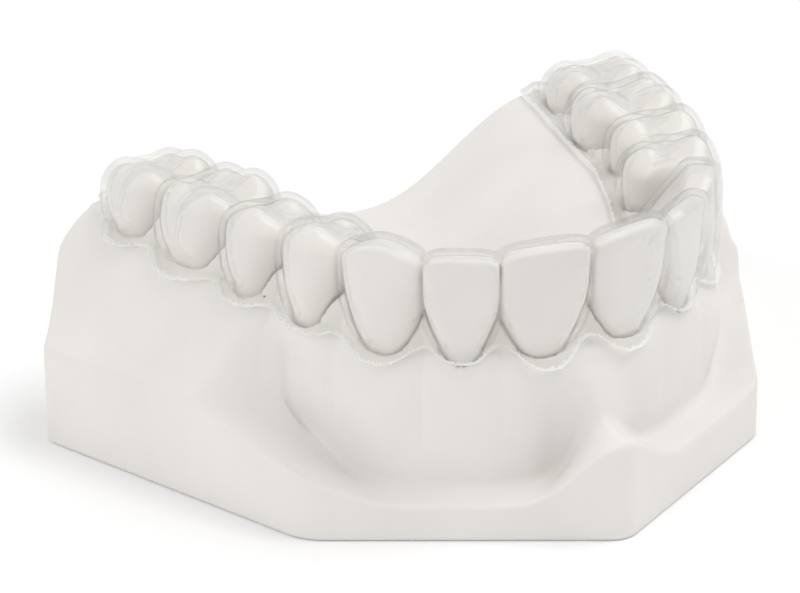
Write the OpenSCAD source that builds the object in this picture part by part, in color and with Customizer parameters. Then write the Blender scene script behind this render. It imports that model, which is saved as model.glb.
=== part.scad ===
// Upper-arch typodont: a trimmed white jaw that rests on its base with the teeth pointing up,
// fourteen replaceable teeth on pegs, one retention screw under each tooth, and a clear
// thermoformed retainer that lifts straight off the crowns.
//
// Frame: origin at the middle of the underside, +Z towards the biting edges, -Y towards the
// incisors, so that +X is the wearer's right side. Units are millimetres.

/* [Dental arch] */
// Half width of the arch curve at its rear end
arch_half_w = 28.6; // [26:0.1:31]
// Depth of the arch curve, from the incisal edge to its rear end
arch_depth = 43.3; // [40:0.1:46]
// Share of the arch depth that follows the square of the width; the rest follows its fourth power
arch_roundness = 0.23; // [0.1:0.01:0.4]
// Y of the incisal edge at the midline
incisal_y = -19.0; // [-21:0.1:-17]

/* [Jaw] */
// Half width over the two side corners
side_corner_x = 38.8; // [37:0.1:41]
// Y of the side corners
side_corner_y = 19.3; // [17:0.1:21]
// Half width over the two heel corners on the back face
heel_corner_x = 33.4; // [31:0.1:35]
// Y of the trimmed back face
back_y = 26.4; // [25:0.1:28]
// Y of the front point on the midline
front_y = -26.4; // [-28.5:0.1:-26]
// Corner under the left canine, where the front cut meets the side cut
left_corner = [-26.5, -11.3]; // [-30:0.1:30]
// Corner under the right canine
right_corner = [22.3, -14.4]; // [-30:0.1:30]
// Height of the wall at the frenum folds and along the sides
rim_high = 10; // [9:0.1:11]
// Height of the wall at the lowest point of each front pocket
rim_low = 3.4; // [3:0.1:5]
// Distance along the arch curve from the midline to a cheek fold
cheek_fold_at = 28.4; // [28:0.1:29]
// Height of the palate floor
palate_z = 13.6; // [12:0.1:15]
// Distance from the palatal gum edge to the palate floor
palate_reach = 19; // [16:0.5:20]
// Rise of the palatal gum edge above the outer gum edge
palatal_rise = 1.9; // [1.2:0.1:2.2]
// Rise of the gum between two teeth above the gum on a tooth's middle
papilla_h = 1.1; // [0.6:0.1:1.4]
// Thickness of the gum around the necks
gum_collar = 0.35; // [0.3:0.05:0.6]

/* [Teeth] */
// Depth of the pocket that seats a tooth neck
seat_depth = 2.4; // [2:0.1:3]
// Length of the round peg below the neck
peg_len = 6; // [5:0.1:6.5]
// Peg radius of the front six teeth
front_peg_r = 1.9; // [1.8:0.05:2]
// Peg radius of the premolars and molars
rear_peg_r = 2.4; // [2.2:0.05:2.5]
// Gap between a tooth and its seat
seat_gap = 0.06; // [0.04:0.01:0.1]

/* [Screws] */
// Shank radius of a retention screw
screw_r = 0.95; // [0.9:0.01:1]
// Head radius of a retention screw
screw_head_r = 1.8; // [1.7:0.05:1.9]
// Head height of a retention screw
screw_head_h = 1.5; // [1.3:0.1:1.7]
// Depth of the counterbores in the underside
counterbore_h = 4.6; // [4:0.1:5]
// Radius of the counterbores in the underside
counterbore_r = 2.2; // [2.1:0.05:2.4]
// How far a screw reaches into its peg
screw_bite = 4.2; // [3.5:0.1:4.5]

/* [Retainer] */
// Sheet thickness
sheet_t = 0.8; // [0.7:0.05:0.9]
// Gap between the sheet and the crowns
sheet_gap = 0.25; // [0.22:0.01:0.3]
// How far the sheet reaches below the outer gum edge
skirt = 1.3; // [1.1:0.1:2]
// How far the sheet reaches over the palatal gum
palatal_skirt = 1.8; // [1.5:0.1:2.2]

/* [Hidden] */
// One row for each tooth of half an arch, from the midline to the rear:
// [name, width along the arch, depth across it, outer face beyond the arch curve, gum height,
//  crown top height, cusps, drop of the crown's shoulders, share of the depth that lies outside
//  the widest line]
TEETH = [
    ["central_incisor",  9.0,  7.0, 0.5, 17.6, 28.2, 0, 0.15, 0.34],
    ["lateral_incisor",  7.3,  6.3, 0.5, 18.2, 27.8, 0, 0.35, 0.34],
    ["canine",           8.3,  8.0, 1.0, 17.7, 28.4, 1, 1.70, 0.40],
    ["first_premolar",   7.3,  9.2, 2.2, 19.5, 28.3, 2, 1.00, 0.46],
    ["second_premolar",  7.2,  9.2, 2.4, 20.2, 28.0, 2, 0.80, 0.46],
    ["first_molar",      9.6, 10.8, 2.5, 20.4, 27.4, 4, 0.20, 0.50],
    ["second_molar",     8.4, 10.4, 2.3, 20.6, 26.7, 4, 0.20, 0.50]
];
// Height that the crown tops run down to at the rear end of the row
rear_top_z = 25.8;
SIDES = [["left", -1], ["right", 1]];

STONE = "#ecebe6";
CROWN = "#f1f0ec";
STEEL = "silver";
CLEAR = [0.9, 0.93, 0.96, 0.35];

// Rings of a crown from the neck to the biting edge, as shares of the crown's size:
// [height, width, depth, shift of the ring to the outer side, rise of the cusps]
INCISOR_RINGS = [
    [0.36, 0.95, 0.98, 0.00, 0], [0.68, 1.00, 0.62, 0.16, 0],
    [0.92, 0.98, 0.30, 0.30, 0], [1.00, 0.93, 0.17, 0.33, 0]
];
CANINE_RINGS = [
    [0.36, 0.95, 1.00, 0.00, 0], [0.66, 1.00, 0.72, 0.12, 0],
    [0.90, 0.84, 0.36, 0.25, 0], [1.00, 0.48, 0.16, 0.28, 0]
];
REAR_RINGS = [
    [0.38, 1.00, 1.00, 0.00, 0.00], [0.68, 0.98, 0.93, 0.00, 0.02],
    [0.86, 0.88, 0.80, 0.00, 0.08], [0.88, 0.74, 0.62, 0.00, 0.12],
    [0.80, 0.36, 0.30, 0.00, 0.03], [0.72, 0.10, 0.10, 0.00, 0.00]
];

ring_n = 20;                        // corners around one tooth outline
squareness = 2.7;                   // exponent of the tooth outline; 2 would be an ellipse
neck_w = 0.80;                      // neck width as a share of the crown width
neck_d = 0.84;                      // neck depth as a share of the crown depth
flare_z = 1.3;                      // the crown starts to widen this far above the gum
contact_gap = 0.06;                 // gap between neighbouring crowns
peg_clearance = 0.04;               // radial gap around pegs
thread_clearance = 0.03;            // radial gap around screw shanks inside the pegs
corner_radii = [2.6, 3.4, 1.2, 1.2, 1.2, 1.2, 6];
edge_step = 1.3;                    // spacing of the jaw outline points
corner_steps = 5;                   // outline steps around one corner
ray_centre = [0, 10];               // the jaw's surface rings run around this point
ring_gap = 0.2;                     // least gap between two rings at the outer wall
papilla_reach = 2;                  // the papillae fade out this far outside the collar
crest_lean = 0.6;                   // run of a cheek fold to the rear per millimetre outwards
frenum_d = 1.8;                     // how far the midline fold stands out of the gum wall
frenum_w = 2.8;                     // half width of the midline fold
groove = 0.45;                      // depth of the sheet's furrow over the rear teeth
embrasure = 0.74;                   // half depth of the retainer between two crowns
end_lift = 0.4;                     // the retainer's rear walls end this far above the gum

// ---- Arch curve -------------------------------------------------------------------------

function arch_y(x) =
    let (u = x / arch_half_w)
    incisal_y + arch_depth * (arch_roundness * u * u + (1 - arch_roundness) * pow(u, 4));
function arch_slope(x) =
    let (u = x / arch_half_w)
    arch_depth / arch_half_w * (2 * arch_roundness * u + 4 * (1 - arch_roundness) * pow(u, 3));

// Pairs of [distance along the curve, x] from the midline outwards
curve_dx = 0.4;
curve_n = 80;
function arc_table(i = 1, s = 0, out = [[0, 0]]) =
    i > curve_n ? out :
    let (
        x0 = (i - 1) * curve_dx,
        x1 = i * curve_dx,
        s1 = s + norm([x1 - x0, arch_y(x1) - arch_y(x0)])
    )
    arc_table(i + 1, s1, concat(out, [[s1, x1]]));
ARC = arc_table();
arc_end = ARC[curve_n][0];

function sign_of(v) = v < 0 ? -1 : 1;
function arch_x(s) = sign_of(s) * lookup(abs(s), ARC);
function arch_point(s) = let (x = arch_x(s)) [x, arch_y(x)];
function arch_tangent(s) = let (k = arch_slope(arch_x(s))) [1, k] / norm([1, k]);
function arch_normal(s) = let (t = arch_tangent(s)) [t[1], -t[0]];

// ---- Tooth positions --------------------------------------------------------------------

function width_before(i) = i == 0 ? 0 : width_before(i - 1) + TEETH[i - 1][1];
function station(i) = width_before(i) + TEETH[i][1] / 2;
row_end = width_before(len(TEETH));
BORDERS = [for (i = [0 : len(TEETH)]) [width_before(i), i]];

// 0 on the middle of a tooth, 1 where it meets its neighbour
function off_middle(s) =
    let (i = min(len(TEETH) - 1, floor(lookup(abs(s), BORDERS))))
    min(1, abs(abs(s) - station(i)) / (TEETH[i][1] / 2));
function by_station(field) = [for (i = [0 : len(TEETH) - 1]) [station(i), TEETH[i][field]]];
OUTER = by_station(3);
DEPTH = by_station(2);
GUM_Z = by_station(4);
TOP_Z = concat(by_station(5), [[row_end, rear_top_z]]);
DROP = by_station(7);
// Slope of the gum wall in degrees: upright in the front pockets, leaning out behind the cheek
// folds, as [distance along the arch curve, slope]. The crest of a cheek fold runs outwards and
// to the rear.
SLOPE = [
    [0, 87], [cheek_fold_at - 1.4, 86], [cheek_fold_at + 0.8, 56], [station(4), 60],
    [station(5), 56], [station(6), 54]
];

function wall_slope(s, beyond) = lookup(s - crest_lean * max(0, beyond), SLOPE);

// Middle of a tooth's neck in plan
function neck_centre(s, i) = arch_point(s) + arch_normal(s) * (TEETH[i][3] - TEETH[i][2] / 2);

// Moves its children from a tooth's own frame into the jaw: +Y points to the lips or cheeks and
// +X along the arch towards the left rear end, with the origin on the middle of the neck.
module at_tooth(side, i) {
    s = side * station(i);
    n = arch_normal(s);
    c = neck_centre(s, i);
    translate([c[0], c[1], 0])
        rotate(atan2(n[1], n[0]) - 90)
            children();
}

// Half width left for a crown at depth y of its own frame. The border with a neighbour runs
// along the normal of the arch curve.
function half_width(side, i, toward, y) =
    let (
        s = side * station(i),
        u = -arch_tangent(s),
        v = arch_normal(s),
        border = s - toward * TEETH[i][1] / 2,
        p = arch_point(border) - neck_centre(s, i),
        n = arch_normal(border)
    )
    abs(p * u + (y - p * v) * (n * u) / (n * v)) - contact_gap / 2;

// Point at angle a of a tooth's outline, for shares w of its width and d of its depth
function outline_point(side, i, a, w, d, shift = 0) =
    let (
        depth = TEETH[i][2],
        belly = TEETH[i][8],
        half = sin(a) > 0 ? belly : 1 - belly,
        y = depth * (shift + d * (0.5 - belly + half * sign_of(sin(a)) * pow(abs(sin(a)), 2 / squareness)))
    )
    [w * sign_of(cos(a)) * pow(abs(cos(a)), 2 / squareness) * half_width(side, i, sign_of(cos(a)), y), y];

// ---- Teeth ------------------------------------------------------------------------------

function crown_rings(t) = t[6] == 0 ? INCISOR_RINGS : t[6] == 1 ? CANINE_RINGS : REAR_RINGS;

// Cusps stand on both sides of the fissure: one pair on a premolar, two pairs on a molar
function cusp(t, a) =
    t[6] == 2 ? pow(abs(sin(a)), 2) * (sin(a) < 0 ? 0.4 : 1) :
    t[6] == 4 ? pow(abs(sin(2 * a)), 1.2) : 0;

function ring_angle(j) = 360 * (j + 0.5) / ring_n;

// One ring of a crown
function ring_points(side, i, r) =
    let (t = TEETH[i])
    [for (j = [0 : ring_n - 1])
        let (
            a = ring_angle(j),
            p = outline_point(side, i, a, r[1], r[2], r[3]),
            h = lookup(station(i) - side * p[0], TOP_Z) - t[4],
            across = 2 * p[0] / t[1],
            z = t[4] + h * (r[0] + r[4] * cusp(t, a)) - (t[7] + 0.35) * pow(across * r[0], 2)
        )
        [p[0], p[1], z]];

function neck_ring(side, i, z) =
    [for (j = [0 : ring_n - 1])
        let (p = outline_point(side, i, ring_angle(j), neck_w, neck_d)) [p[0], p[1], z]];

function middle(ring) = [for (k = [0 : 2]) [for (p = ring) p[k]] * [for (p = ring) 1] / len(ring)];

module crown(side, i) {
    t = TEETH[i];
    rings = concat(
        [neck_ring(side, i, t[4] - seat_depth), neck_ring(side, i, t[4] + flare_z)],
        [for (r = crown_rings(t)) ring_points(side, i, r)]
    );
    k = len(rings);
    points = concat([for (r = rings) each r], [middle(rings[0]), middle(rings[k - 1])]);
    sides = [for (r = [0 : k - 2], j = [0 : ring_n - 1])
        let (a = r * ring_n + j, b = r * ring_n + (j + 1) % ring_n)
        each [[a, a + ring_n, b], [b, a + ring_n, b + ring_n]]];
    bottom = [for (j = [0 : ring_n - 1]) [j, (j + 1) % ring_n, k * ring_n]];
    top = [for (j = [0 : ring_n - 1])
        [(k - 1) * ring_n + (j + 1) % ring_n, (k - 1) * ring_n + j, k * ring_n + 1]];
    polyhedron(points, concat(sides, bottom, top), convexity = 4);
}

function peg_r(i) = i < 3 ? front_peg_r : rear_peg_r;
function seat_z(i) = TEETH[i][4] - seat_depth;
function peg_z(i) = seat_z(i) - peg_len;

module tooth(side, i) {
    color(CROWN)
        at_tooth(side, i)
            difference() {
                union() {
                    crown(side, i);
                    translate([0, 0, peg_z(i)])
                        cylinder(r = peg_r(i), h = peg_len + 0.5, $fn = 48);
                }
                translate([0, 0, peg_z(i) - 1])
                    cylinder(r = screw_r + thread_clearance, h = screw_bite + 1.6, $fn = 32);
            }
}

// ---- Jaw --------------------------------------------------------------------------------

OUTLINE = [
    [0, front_y], right_corner, [side_corner_x, side_corner_y], [heel_corner_x, back_y],
    [-heel_corner_x, back_y], [-side_corner_x, side_corner_y], left_corner
];

// Points around corner i, on an arc that is tangent to both of its cuts
function corner_arc(i) =
    let (
        n = len(OUTLINE),
        p = OUTLINE[i],
        u = (OUTLINE[(i + n - 1) % n] - p) / norm(OUTLINE[(i + n - 1) % n] - p),
        v = (OUTLINE[(i + 1) % n] - p) / norm(OUTLINE[(i + 1) % n] - p),
        half = acos(u * v) / 2,
        m = (u + v) / norm(u + v),
        r = corner_radii[i],
        c = p + m * r / sin(half),
        a0 = atan2((-m)[1], (-m)[0])
    )
    [for (k = [0 : corner_steps])
        let (a = a0 + (90 - half) * (2 * k / corner_steps - 1))
        c + r * [cos(a), sin(a)]];

// The whole outline, with its straight cuts split into even steps
OUTLINE_POINTS = [for (i = [0 : len(OUTLINE) - 1])
    let (
        arc = corner_arc(i),
        next = corner_arc((i + 1) % len(OUTLINE))[0],
        last = arc[corner_steps],
        steps = max(1, round(norm(next - last) / edge_step))
    )
    each concat(arc, [for (k = [1 : 1 : steps - 1]) last + (next - last) * k / steps])];

cheek_fold_x = arch_x(cheek_fold_at) + lookup(cheek_fold_at, OUTER);

// 0 to 1 without a corner at either end
function blend(t) = let (c = min(1, max(0, t))) c * c * (3 - 2 * c);

// Height of the floor between the gum wall and the outer wall. The two front pockets are closed
// by a fold on the midline, which is steeper on its left, and by the two cheek folds. All of them
// widen with the distance beyond the gum edge.
function land_z(x, beyond) =
    let (
        b = min(5.5, max(0, beyond)),
        half = x < 0 ? 1 + 0.75 * b : 3.2 + 0.5 * b,
        midline = exp(-pow(abs(x) / half, 1.7)),
        cheek = blend(0.5 + (abs(x) - cheek_fold_x - 1.6) / (6.5 + 1.4 * b))
    )
    rim_low + (rim_high - rim_low) * max(midline, cheek);

// How far the midline fold stands out at x
function midline_fold(x) = abs(x) > frenum_w ? 0 : frenum_d * (1 + cos(180 * x / frenum_w)) / 2;

// The arch curve as points, which the jaw's surface is measured from
curve_step = 0.5;
CURVE = [for (s = [-arc_end : curve_step : arc_end]) [s, arch_point(s), arch_normal(s)]];

// [signed distance outwards from the arch curve, distance along it]
function arch_coords(q) =
    let (
        d = [for (c = CURVE) norm(c[1] - q)],
        c = CURVE[search(min(d), d)[0]]
    )
    [(q - c[1]) * c[2], c[0]];

// Top of the jaw at a point in plan
function jaw_z(q) =
    let (
        a = arch_coords(q),
        s = abs(a[1]),
        gum = lookup(s, GUM_Z),
        outer = lookup(s, OUTER),
        depth = lookup(s, DEPTH),
        out = a[0] - outer - gum_collar,
        fold = midline_fold(q[0]),
        beyond = out - min(fold, 0.6 * out),
        inside = outer - depth - a[0],
        papilla = s > row_end ? 0 : papilla_h * pow(off_middle(s), 2),
        wall = gum + papilla * max(0, 1 - beyond / papilla_reach) - tan(wall_slope(s, beyond)) * beyond,
        reach = min(1, max(0, inside) / palate_reach),
        palate = palate_z + (gum + palatal_rise - palate_z) * (1 + cos(180 * reach)) / 2,
        across = min(1, max(0, -beyond) / depth)
    )
    beyond > 0 ? max(land_z(q[0], beyond), wall) :
    inside > 0 ? palate :
    gum + palatal_rise * across + papilla * (1 - across);

// Distance from the ray centre, along a ray of length 1, to the arch curve
function crossing(p, dir, lo, hi, n = 14) =
    n == 0 ? (lo + hi) / 2 :
    let (mid = (lo + hi) / 2)
    arch_coords(p + dir * mid)[0] < 0 ? crossing(p, dir, mid, hi, n - 1) : crossing(p, dir, lo, mid, n - 1);

// Radii of the surface rings on the ray to one outline point
function ring_radii(q) =
    let (
        total = norm(q - ray_centre),
        dir = (q - ray_centre) / total,
        at = min(total, crossing(ray_centre, dir, 4, 60)),
        p = ray_centre + dir * at,
        s = abs(arch_coords(p)[1]),
        outer = lookup(s, OUTER) + gum_collar,
        inner = lookup(s, OUTER) - lookup(s, DEPTH),
        fold = midline_fold(p[0]),
        run = fold + (lookup(s, GUM_Z) - land_z(p[0], 1.5)) / tan(wall_slope(s, 1.5)),
        edge = at + inner,
        rim = at + outer,
        want = [edge * 0.35, edge * 0.6, edge * 0.8, edge - 1.4, edge, (edge + rim) / 2, rim - 0.9,
                rim, rim + run / 4, rim + run / 2, rim + run * 3 / 4, rim + run,
                (rim + run + total) / 2, total]
    )
    [for (k = [0 : len(want) - 1]) min(want[k], total - (len(want) - 1 - k) * ring_gap)];

module jaw_blank() {
    rays = [for (q = OUTLINE_POINTS)
        let (dir = (q - ray_centre) / norm(q - ray_centre))
        [for (r = ring_radii(q)) ray_centre + dir * r]];
    n = len(rays);
    k = len(rays[0]);
    points = concat(
        [for (j = [0 : k - 1], ray = rays) [ray[j][0], ray[j][1], jaw_z(ray[j])]],
        [for (ray = rays) [ray[k - 1][0], ray[k - 1][1], 0]],
        [[ray_centre[0], ray_centre[1], jaw_z(ray_centre)], [ray_centre[0], ray_centre[1], 0]]
    );
    top_i = (k + 1) * n;
    bands = [for (j = [0 : k - 1], i = [0 : n - 1])
        let (a = j * n + i, b = j * n + (i + 1) % n)
        each [[a, a + n, b], [b, a + n, b + n]]];
    middle = [for (i = [0 : n - 1]) [i, (i + 1) % n, top_i]];
    floor_fan = [for (i = [0 : n - 1]) [k * n + (i + 1) % n, k * n + i, top_i + 1]];
    faces = [for (f = concat(bands, middle, floor_fan)) [f[2], f[1], f[0]]];
    polyhedron(points, faces, convexity = 8);
}

// A tooth's outline, widened by the seat gap
module seat_outline(side, i, w, d) {
    polygon([for (j = [0 : ring_n - 1])
        let (p = outline_point(side, i, ring_angle(j), w, d)) p * (1 + seat_gap / norm(p))]);
}

// Seat, peg hole, screw hole and counterbore of one tooth. Above the neck the seat is as wide
// as the crown.
module seat(side, i) {
    translate([0, 0, seat_z(i) - seat_gap])
        linear_extrude(20)
            seat_outline(side, i, neck_w, neck_d);
    translate([0, 0, TEETH[i][4] + flare_z])
        linear_extrude(20)
            seat_outline(side, i, 1, 1);
    translate([0, 0, peg_z(i) - seat_gap])
        cylinder(r = peg_r(i) + peg_clearance, h = peg_len + 1, $fn = 48);
    translate([0, 0, -1])
        cylinder(r = screw_r + 0.15, h = peg_z(i) + 2, $fn = 32);
    translate([0, 0, -1])
        cylinder(r = counterbore_r, h = counterbore_h + 1, $fn = 48);
}

module jaw_base() {
    color(STONE)
        difference() {
            jaw_blank();
            for (s = SIDES, i = [0 : len(TEETH) - 1])
                at_tooth(s[1], i) seat(s[1], i);
        }
}

// ---- Screws -----------------------------------------------------------------------------

module screw(i) {
    difference() {
        union() {
            translate([0, 0, counterbore_h - screw_head_h])
                cylinder(r = screw_head_r, h = screw_head_h, $fn = 48);
            translate([0, 0, counterbore_h - 0.5])
                cylinder(r = screw_r, h = peg_z(i) + screw_bite - counterbore_h + 0.5, $fn = 32);
        }
        translate([0, 0, counterbore_h - screw_head_h + 0.35])
            cube([2 * screw_head_r + 1, 0.5, 0.8], center = true);
    }
}

module retention_screws() {
    color(STEEL)
        for (s = SIDES, i = [0 : len(TEETH) - 1])
            at_tooth(s[1], i) screw(i);
}

// ---- Retainer ---------------------------------------------------------------------------

// Stations of the sheet along one tooth, as shares of its width from the middle
TOOTH_STATIONS = [-0.44, -0.30, -0.15, 0, 0.15, 0.30, 0.44];
// [station, share of the crown's depth that the cavity takes there] from one rear end to the other
function half_row() = [for (i = [0 : len(TEETH) - 1])
    each concat(
        [[width_before(i), embrasure]],
        [for (m = TOOTH_STATIONS) [station(i) + m * TEETH[i][1], min(1, 1.09 - 1.2 * m * m)]]
    )];
ROW = let (h = half_row(), e = row_end + sheet_gap)
    concat(
        [[-e, 0.72]],
        [for (k = [len(h) - 1 : -1 : 1]) [-h[k][0], h[k][1]]],
        h,
        [[e, 0.72]]
    );

// Cross-section of the cavity at a station, from the outer skirt edge to the palatal one,
// as [distance outwards from the arch curve, height]
function cavity(s, share) =
    let (
        a = abs(s),
        outer = lookup(a, OUTER),
        depth = lookup(a, DEPTH),
        gum = lookup(a, GUM_Z),
        off = off_middle(a),
        // 0 for the thin front edges, 1 for the broad tables of the rear teeth
        rear = min(1, max(0, (a - station(1)) / (station(3) - station(1)))),
        // 0 along the row, 1 on the rear walls
        tail = max(0, 1 - (row_end + sheet_gap - a) / 4),
        top = lookup(a, TOP_Z) + sheet_gap + 0.05 - lookup(a, DROP) * pow(off, 2) - 0.3 * pow(off, 8),
        mid = outer - depth / 2,
        half = depth / 2 * (1 - (1 - share) * (0.35 + 0.65 * rear)) + sheet_gap,
        lip = mid + half,
        palatal = mid - half,
        collar = outer + gum_collar + sheet_gap,
        seam = gum + papilla_h * pow(off, 2) + end_lift,
        low = seam - (skirt + end_lift) * (1 - tail),
        bulge = gum + 0.42 * (top - gum),
        shoulder = 1.6 + 1.2 * (1 - rear),
        edge_out = lip - 0.40 - 0.40 * rear,
        edge_in = lip - (3.0 * (1 - rear) + (2 * half - 1.8) * rear),
        inner_gum = gum + palatal_rise
    )
    [
        [max(lip, collar + 0.05 + max(0, seam - end_lift - low) / tan(lookup(a, SLOPE))), low],
        [max(lip, collar), max(seam, low + 0.1)],
        [lip, max(bulge, seam + 0.2)],
        [lip - 0.15, top - shoulder],
        [edge_out, top],
        [(edge_out + edge_in) / 2, top - groove * max(0, 2 * rear - 1)],
        [edge_in, top],
        [palatal + 0.15 + 1.6 * (1 - rear), top - shoulder - 1.2 * (1 - rear)],
        [palatal, max(bulge, inner_gum + 0.7)],
        [palatal - 0.15, inner_gum + 0.4],
        [palatal - palatal_skirt * (1 - tail) - 0.3, inner_gum + 0.15]
    ];

// The same section, thicker by t: every point moves along the mean of its neighbours' normals
function thicker(section, t) =
    let (n = len(section))
    [for (i = [0 : n - 1])
        let (
            d = section[min(i + 1, n - 1)] - section[max(i - 1, 0)],
            u = d / norm(d)
        )
        section[i] + t * [-u[1], u[0]] * -1];

function placed(s, section, push = 0) =
    let (p = arch_point(s), n = arch_normal(s), t = arch_tangent(s))
    [for (q = section) let (r = p + n * q[0] + t * push) [r[0], r[1], q[1]]];

module retainer_shell() {
    inner = [for (r = ROW) placed(r[0], cavity(r[0], r[1]))];
    outer = [for (i = [0 : len(ROW) - 1])
        let (push = i == 0 ? -sheet_t : i == len(ROW) - 1 ? sheet_t : 0)
        placed(ROW[i][0], thicker(cavity(ROW[i][0], ROW[i][1]), sheet_t), push)];
    n = len(ROW);
    k = len(inner[0]);
    last = k - 1;
    // middle of the edge that closes each rear wall
    foot = [for (w = [inner[0], inner[n - 1], outer[0], outer[n - 1]]) (w[0] + w[last]) / 2];
    points = concat([for (w = inner) each w], [for (w = outer) each w], foot);
    o = n * k;
    f = 2 * o;
    skin = [for (i = [0 : n - 2], j = [0 : k - 2])
        let (a = i * k + j, b = a + k)
        each [[a, b, a + 1], [a + 1, b, b + 1], [o + a, o + a + 1, o + b], [o + a + 1, o + b + 1, o + b]]];
    rims = [for (i = [0 : n - 2])
        let (a = i * k, b = a + k)
        each [[a, o + a, b], [b, o + a, o + b],
              [a + last, b + last, o + a + last], [b + last, o + b + last, o + a + last]]];
    e = (n - 1) * k;
    walls = [for (j = [0 : k - 2])
        each [[j, j + 1, f], [e + j + 1, e + j, f + 1],
              [o + j + 1, o + j, f + 2], [o + e + j, o + e + j + 1, f + 3]]];
    feet = [
        [0, f, f + 2], [0, f + 2, o], [f, last, o + last], [f, o + last, f + 2],
        [e, f + 3, f + 1], [e, o + e, f + 3], [f + 1, o + e + last, e + last], [f + 1, f + 3, o + e + last]
    ];
    polyhedron(points, concat(skin, rims, walls, feet), convexity = 10);
}

module retainer() {
    color(CLEAR) retainer_shell();
}

// ---- Nodes ------------------------------------------------------------------------------

jaw_base();
retention_screws();
retainer();
for (s = SIDES, i = [0 : len(TEETH) - 1])
    tooth(s[1], i);
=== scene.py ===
"""Typodont model: a white stone upper arch with separate teeth and a clear thermoformed retainer.

Shapes are written as implicit functions in millimetres (negative inside) and meshed on voxel grids.
Arch coordinates: s runs along the row of tooth necks from the midline, v points to lips and cheeks.
"""
import math

import bpy
import numpy as np
import openvdb
from mathutils import Matrix, Vector


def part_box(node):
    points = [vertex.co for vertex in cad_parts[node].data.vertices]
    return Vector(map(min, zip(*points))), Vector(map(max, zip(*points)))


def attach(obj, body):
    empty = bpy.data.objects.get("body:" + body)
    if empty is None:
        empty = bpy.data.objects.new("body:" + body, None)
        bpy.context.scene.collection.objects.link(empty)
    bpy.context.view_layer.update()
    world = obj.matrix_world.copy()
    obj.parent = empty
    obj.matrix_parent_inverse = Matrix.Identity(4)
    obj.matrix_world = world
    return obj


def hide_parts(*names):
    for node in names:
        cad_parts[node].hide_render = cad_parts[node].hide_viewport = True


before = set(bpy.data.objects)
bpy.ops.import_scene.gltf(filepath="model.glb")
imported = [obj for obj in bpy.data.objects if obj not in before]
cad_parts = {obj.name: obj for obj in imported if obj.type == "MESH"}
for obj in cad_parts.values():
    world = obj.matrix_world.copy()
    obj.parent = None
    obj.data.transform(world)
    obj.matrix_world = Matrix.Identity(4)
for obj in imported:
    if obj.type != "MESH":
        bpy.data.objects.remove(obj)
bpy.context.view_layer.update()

MM = 0.001
ROOT_BODY = "model"
RETAINER_BODY = "retainer_body"

# ---- Sizes in millimetres ---------------------------------------------------------------

TOOTH_KINDS = ["central_incisor", "lateral_incisor", "canine", "first_premolar",
               "second_premolar", "first_molar", "second_molar"]
PEG_TO_GUM = 8.4            # the gum's outer edge lies this far above the bottom of a peg
SEAT_DEPTH = 2.4            # a tooth's neck reaches this far below the gum
PEG_RADIUS = [1.9, 1.9, 1.9, 2.4, 2.4, 2.4, 2.4]
COUNTERBORE_RADIUS = 2.2
COUNTERBORE_DEPTH = 4.6
SCREW_HOLE_RADIUS = 1.1
TOOTH_REACH = 14            # everything of one tooth lies within this distance of its peg

JAW_VOXEL = 0.25
TOOTH_VOXEL = 0.14
SHEET_VOXEL = 0.25

# The floor of the front pockets and its walls; land is the floor between gum and outer wall
RIM_HIGH = 10.0             # wall height at the folds and along the sides
RIM_LOW = 3.4               # wall height in the left front pocket
RIGHT_FILL = 1.8            # the right front pocket is shallower by this much
LAND_WIDTH = 5.5            # the folds stop widening this far beyond the gum edge
LAND_SLOPE = 0.14           # rise of the pocket floors from the outer wall inwards
LAND_SLOPE_REACH = 7
MIDLINE_FOLD = ((2.2, 0.78), (3.2, 0.5))  # half width and its growth outwards, left and right
MIDLINE_POWER = 1.7
CHEEK_FOLD_X = 24.0         # distance from the midline to a cheek fold's crest at the gum wall
CHEEK_FOLD_LEAN = 1.1       # and the crest's run from there per millimetre outwards
CHEEK_RISE = (6, 1.6)       # length of the rise to that crest, and its growth outwards
CHEEK_POWER = 2.3
LAND_FILLET = 1.1           # fillet between gum wall and floor at the front
CHEEK_FILLET = 2.6          # and its increase under the cheeks,
CHEEK_START = 18            # from this distance from the midline
CHEEK_SPAN = 9              # over this width

# The palate
PALATE_Z = 13.6
PALATE_REACH = 19.0
PALATE_SOFTEN = 16          # voxels to each side over which the palate is evened out,
PALATE_BLEND = (1, 6)       # from this far inside the gum's inner edge, over this width
PALATAL_RISE = 1.9          # the gum's inner edge lies higher than its outer edge by this much
PAPILLA_FADE = 0.65         # share of a papilla's height that is lost towards the palate

# The gum, with one value for each kind of tooth
MARGIN_RISE = [0.4, 0.7, 0.1, 0.3, 0.3, 0.1, 0.6]
PAPILLA_HEIGHT = [5.2, 4.3, 4.2, 3.0, 2.6, 2.3, 1.8]
PAPILLA_RECESS = [0.55, 0.55, 0.65, 0.9, 0.9, 0.9, 0.8]
ROOT_BULGE = [0.3, 0.24, 0.84, 0.42, 0.36, 0.36, 0.24]
PAPILLA_POWER = 1.6
RECESS_DEPTH = 3.0          # the papillae are set back down to this depth below the gum edge
ROOT_LENGTH = 11            # the roots bulge down to this depth
NECK_SHARE = 0.82           # the gum edge lies at this share of half a tooth's depth
ROLL_OUT = 0.75             # the rounded gum edge swells outwards by this much
ROLL_DEPTH = 0.8
CREVICE_WIDTH = 0.22        # the gum stands off from a crown by this much at its margin
CREVICE_DEPTH = 0.7

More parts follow.
